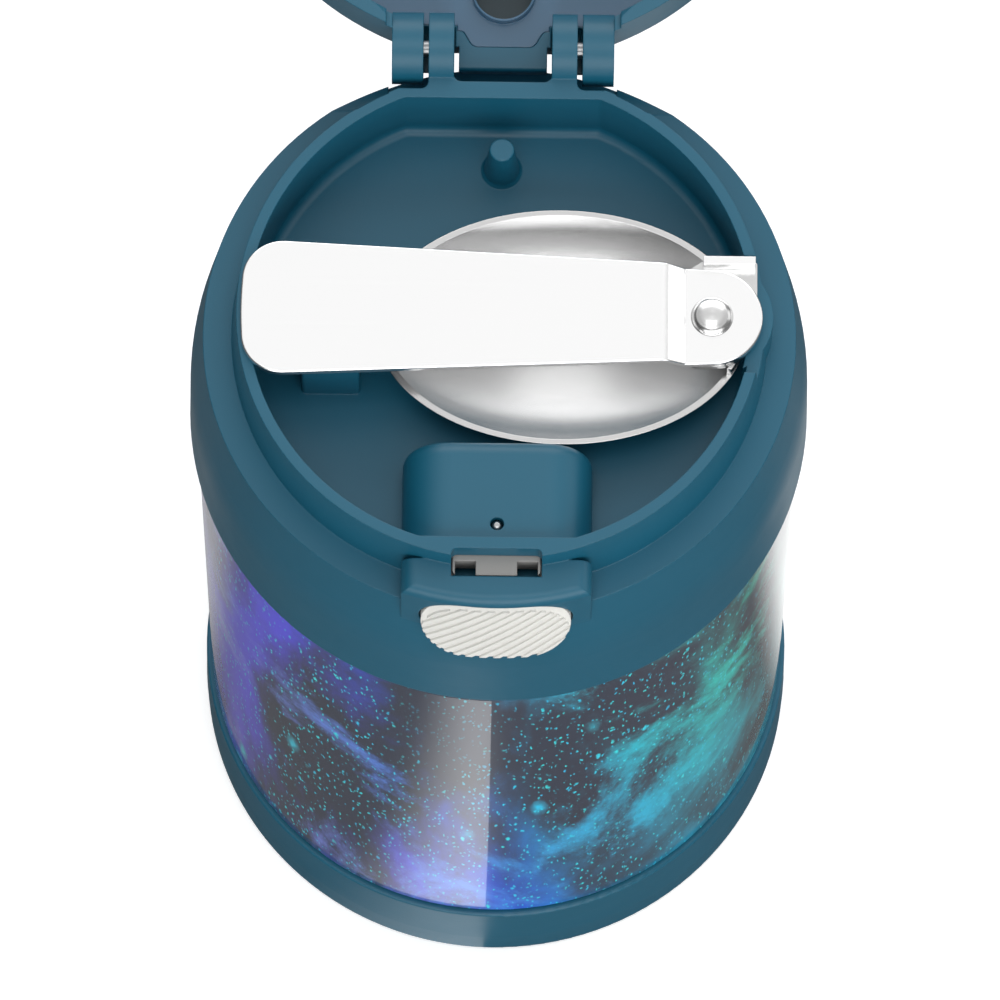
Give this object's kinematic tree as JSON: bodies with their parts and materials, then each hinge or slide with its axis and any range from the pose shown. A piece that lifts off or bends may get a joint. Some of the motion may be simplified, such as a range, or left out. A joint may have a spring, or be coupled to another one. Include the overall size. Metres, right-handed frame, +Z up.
{
  "type": "insulated food jar",
  "caption": "Wide vacuum food jar with a screw lid, a rear-hinged flip lid, a push-button latch and a folding spoon that lies in a tray in the lid",
  "frame": {"origin": "centre of the flat underside of the boot, on the surface that the jar stands on", "axes": "+Z up along the body, -Y towards the push button, +Y towards the lid hinge, +X to the right seen from the front"},
  "size_m": [0.092, 0.1741, 0.1763],
  "materials": {
    "printed_steel": "glossy printed steel, dark blue and teal nebula with small stars",
    "food_steel": "fine brushed stainless steel",
    "getter_metal": "dull sintered metal",
    "solder_glass": "dull dark grey bead",
    "teal_plastic": "fine satin teal plastic",
    "silicone": "translucent pale silicone",
    "pale_plastic": "smooth pale grey plastic",
    "foam": "closed-cell white foam",
    "pin_steel": "polished steel",
    "latch_plastic": "warm light grey plastic",
    "button_plastic": "off-white satin plastic with slanted ribs",
    "liner_plastic": "smooth satin blue-grey plastic",
    "spoon_steel": "bright satin stainless steel"
  },
  "bodies": {
    "jar": {"outer_shell": "printed_steel", "inner_liner": "food_steel", "base_cap": "food_steel", "getter": "getter_metal", "vacuum_seal": "solder_glass", "base_boot": "teal_plastic"},
    "lid_seal": {"lid_gasket": "silicone"},
    "screw_lid": {"lid_collar": "teal_plastic", "stopper_liner": "pale_plastic", "foam_insulation": "foam", "latch_retainer": "teal_plastic", "latch_pin": "pin_steel", "latch_spring": "pin_steel", "hinge_pins": "pin_steel"},
    "button": {"push_button": "button_plastic", "latch_slide": "latch_plastic"},
    "flip_lid": {"lid_shell": "teal_plastic", "lid_liner": "liner_plastic"},
    "spoon": {"spoon_bowl": "spoon_steel", "spoon_rivet": "spoon_steel"},
    "folding_handle": {"spoon_handle": "spoon_steel"}
  },
  "joints": [
    {"name": "lid_rise", "type": "slide", "parent": "jar", "child": "lid_seal", "axis": [0, 0, 1], "range_m": [0, 0.006]},
    {"name": "lid_turn", "type": "hinge", "parent": "lid_seal", "child": "screw_lid", "pos_m": [0, 0, 0.14], "axis": [0, 0, 1], "range_deg": [0, 540]},
    {"name": "flip_hinge", "type": "hinge", "parent": "screw_lid", "child": "flip_lid", "pos_m": [0, 0.0421, 0.155], "axis": [-1, 0, 0], "range_deg": [-170, 0]},
    {"name": "button_press", "type": "slide", "parent": "screw_lid", "child": "button", "axis": [0, 1, 0], "range_m": [0, 0.0018], "stiffness_N_per_m": 400, "springref_m": -0.002, "deforming": ["latch_spring"]},
    {"name": "spoon_lift", "type": "slide", "parent": "screw_lid", "child": "spoon", "axis": [0, 0, 1], "range_m": [0, 0.04]},
    {"name": "spoon_fold", "type": "hinge", "parent": "spoon", "child": "folding_handle", "pos_m": [0.0309, 0, 0.155], "axis": [0, 0, 1], "range_deg": [0, 180]}
  ],
  "couplings": [
    {"joint": "lid_rise", "follows": "lid_turn", "m_per_rad": 0.00063662}
  ]
}
